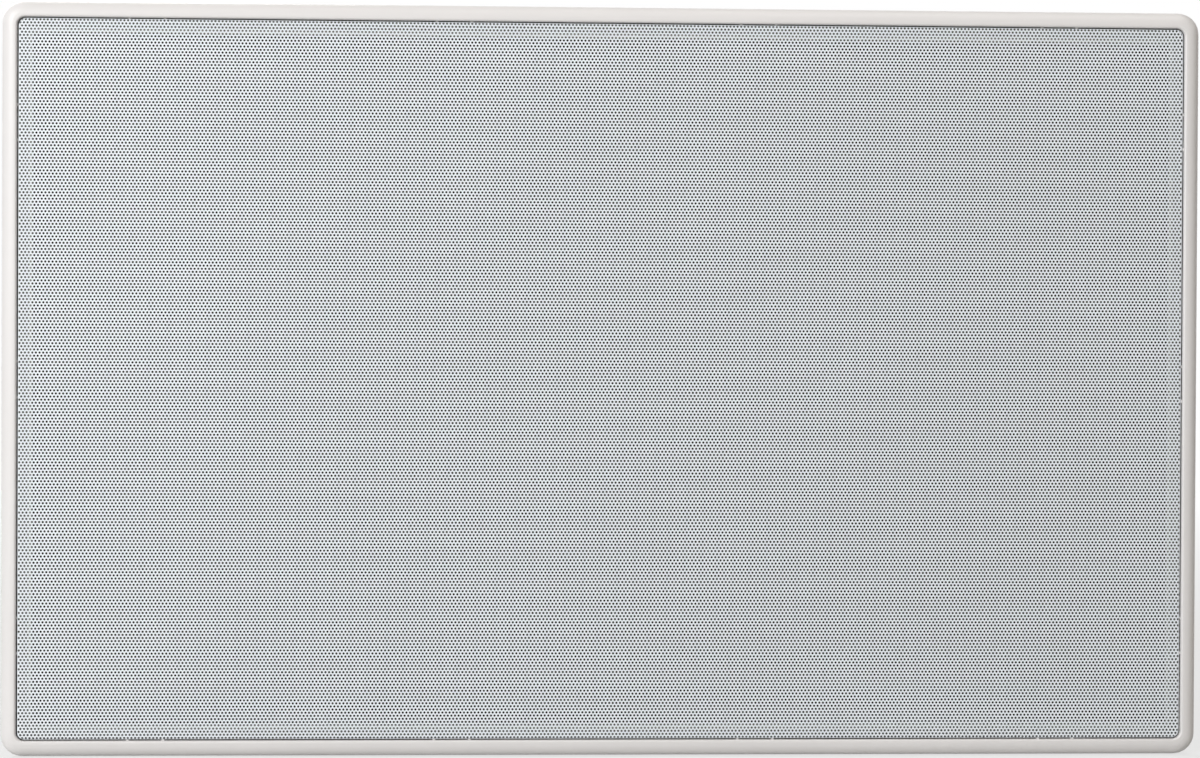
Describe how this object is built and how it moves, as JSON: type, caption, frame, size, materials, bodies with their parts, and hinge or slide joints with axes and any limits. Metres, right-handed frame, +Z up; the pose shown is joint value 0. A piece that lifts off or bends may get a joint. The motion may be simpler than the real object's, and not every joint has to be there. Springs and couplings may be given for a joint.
{
  "type": "in-wall speaker",
  "caption": "Wide in-wall loudspeaker with a white moulded bezel and press-in perforated grille over woofers and a dome tweeter, held in a wall cut-out by swing-out clamps.",
  "frame": {"origin": "centre of the wall opening in the plane of the flange's back face, which lies on the wall", "axes": "+X to the right seen from the front, +Y into the wall, +Z up"},
  "size_m": [0.368, 0.066, 0.23],
  "materials": {
    "frame_plastic": "moulded off-white plastic",
    "grille_paint": "white powder coat on perforated sheet",
    "scrim_cloth": "thin black cloth",
    "baffle_plastic": "moulded black plastic",
    "basket_paint": "black paint on pressed steel",
    "gasket_foam": "dense black foam",
    "surround_rubber": "soft black rubber",
    "cone_plastic": "filled polypropylene",
    "dust_cap_plastic": "moulded polypropylene",
    "coil_former": "former with enamelled winding",
    "spider_cloth": "resin-stiffened cloth",
    "plated_steel": "zinc-plated steel",
    "ferrite": "sintered ferrite",
    "strip_board": "phenolic strip with tinned lugs",
    "dome_cloth": "coated cloth dome",
    "faceplate_plastic": "moulded black plastic",
    "magnet_nickel": "nickel-plated magnet",
    "board_fibre": "fibre board with solder mask",
    "bobbin_plastic": "moulded black nylon",
    "copper_wire": "enamelled copper wire",
    "capacitor_wrap": "wrapped film capacitor",
    "resistor_cement": "cement-filled case",
    "terminal_plastic": "moulded black plastic",
    "button_red": "moulded red plastic",
    "button_black": "moulded black plastic",
    "screw_zinc": "zinc-plated steel",
    "screw_black": "blackened steel",
    "clamp_plastic": "glass-filled nylon"
  },
  "bodies": {
    "frame": {"baffle": "baffle_plastic", "baffle_screws": "screw_black", "crossover_board": "board_fibre", "crossover_screws": "screw_zinc", "frame": "frame_plastic", "grille": "grille_paint", "grille_scrim": "scrim_cloth", "resistor": "resistor_cement", "terminal_black": "terminal_plastic", "terminal_red": "terminal_plastic", "tweeter_capacitor": "capacitor_wrap", "tweeter_cup": "plated_steel", "tweeter_dome": "dome_cloth", "tweeter_faceplate": "faceplate_plastic", "tweeter_inductor_bobbin": "bobbin_plastic", "tweeter_inductor_winding": "copper_wire", "tweeter_magnet": "magnet_nickel", "tweeter_pole_plate": "plated_steel", "tweeter_screws": "screw_black", "tweeter_terminals": "strip_board", "tweeter_top_plate": "plated_steel", "tweeter_voice_coil": "coil_former", "woofer_basket_left": "basket_paint", "woofer_basket_right": "basket_paint", "woofer_capacitor": "capacitor_wrap", "woofer_gasket_left": "gasket_foam", "woofer_gasket_right": "gasket_foam", "woofer_inductor_bobbin": "bobbin_plastic", "woofer_inductor_winding": "copper_wire", "woofer_magnet_left": "ferrite", "woofer_magnet_right": "ferrite", "woofer_screws": "screw_black", "woofer_spider_left": "spider_cloth", "woofer_spider_right": "spider_cloth", "woofer_surround_left": "surround_rubber", "woofer_surround_right": "surround_rubber", "woofer_terminals_left": "strip_board", "woofer_terminals_right": "strip_board", "woofer_top_plate_left": "plated_steel", "woofer_top_plate_right": "plated_steel", "woofer_yoke_left": "plated_steel", "woofer_yoke_right": "plated_steel"},
    "left_cone": {"woofer_cone_left": "cone_plastic", "woofer_dust_cap_left": "dust_cap_plastic", "woofer_voice_coil_left": "coil_former"},
    "right_cone": {"woofer_cone_right": "cone_plastic", "woofer_dust_cap_right": "dust_cap_plastic", "woofer_voice_coil_right": "coil_former"},
    "red_button": {"terminal_button_red": "button_red"},
    "black_button": {"terminal_button_black": "button_black"},
    "top_left_screw": {"clamp_screw_top_left": "screw_zinc"},
    "top_left_arm": {"clamp_arm_top_left": "clamp_plastic"},
    "top_right_screw": {"clamp_screw_top_right": "screw_zinc"},
    "top_right_arm": {"clamp_arm_top_right": "clamp_plastic"},
    "bottom_left_screw": {"clamp_screw_bottom_left": "screw_zinc"},
    "bottom_left_arm": {"clamp_arm_bottom_left": "clamp_plastic"},
    "bottom_right_screw": {"clamp_screw_bottom_right": "screw_zinc"},
    "bottom_right_arm": {"clamp_arm_bottom_right": "clamp_plastic"}
  },
  "joints": [
    {"name": "left_cone_travel", "type": "slide", "parent": "frame", "child": "left_cone", "axis": [0, -1, 0], "range_m": [-0.003, 0.003], "stiffness_N_per_m": 1000, "deforming": ["woofer_surround_left", "woofer_spider_left"]},
    {"name": "right_cone_travel", "type": "slide", "parent": "frame", "child": "right_cone", "axis": [0, -1, 0], "range_m": [-0.003, 0.003], "stiffness_N_per_m": 1000, "deforming": ["woofer_surround_right", "woofer_spider_right"]},
    {"name": "red_button_push", "type": "slide", "parent": "frame", "child": "red_button", "axis": [0, -1, 0], "range_m": [0, 0.0032], "stiffness_N_per_m": 600},
    {"name": "black_button_push", "type": "slide", "parent": "frame", "child": "black_button", "axis": [0, -1, 0], "range_m": [0, 0.0032], "stiffness_N_per_m": 600},
    {"name": "top_left_clamp_swing", "type": "hinge", "parent": "frame", "child": "top_left_screw", "pos_m": [-0.125, 0.03415, 0.092], "axis": [0, -1, 0], "range_deg": [0, 90]},
    {"name": "top_left_clamp_draw", "type": "slide", "parent": "top_left_screw", "child": "top_left_arm", "axis": [0, -1, 0], "range_m": [0, 0.026]},
    {"name": "top_right_clamp_swing", "type": "hinge", "parent": "frame", "child": "top_right_screw", "pos_m": [0.125, 0.03415, 0.092], "axis": [0, 1, 0], "range_deg": [0, 90]},
    {"name": "top_right_clamp_draw", "type": "slide", "parent": "top_right_screw", "child": "top_right_arm", "axis": [0, -1, 0], "range_m": [0, 0.026]},
    {"name": "bottom_left_clamp_swing", "type": "hinge", "parent": "frame", "child": "bottom_left_screw", "pos_m": [-0.125, 0.03415, -0.092], "axis": [0, 1, 0], "range_deg": [0, 90]},
    {"name": "bottom_left_clamp_draw", "type": "slide", "parent": "bottom_left_screw", "child": "bottom_left_arm", "axis": [0, -1, 0], "range_m": [0, 0.026]},
    {"name": "bottom_right_clamp_swing", "type": "hinge", "parent": "frame", "child": "bottom_right_screw", "pos_m": [0.125, 0.03415, -0.092], "axis": [0, -1, 0], "range_deg": [0, 90]},
    {"name": "bottom_right_clamp_draw", "type": "slide", "parent": "bottom_right_screw", "child": "bottom_right_arm", "axis": [0, -1, 0], "range_m": [0, 0.026]}
  ]
}
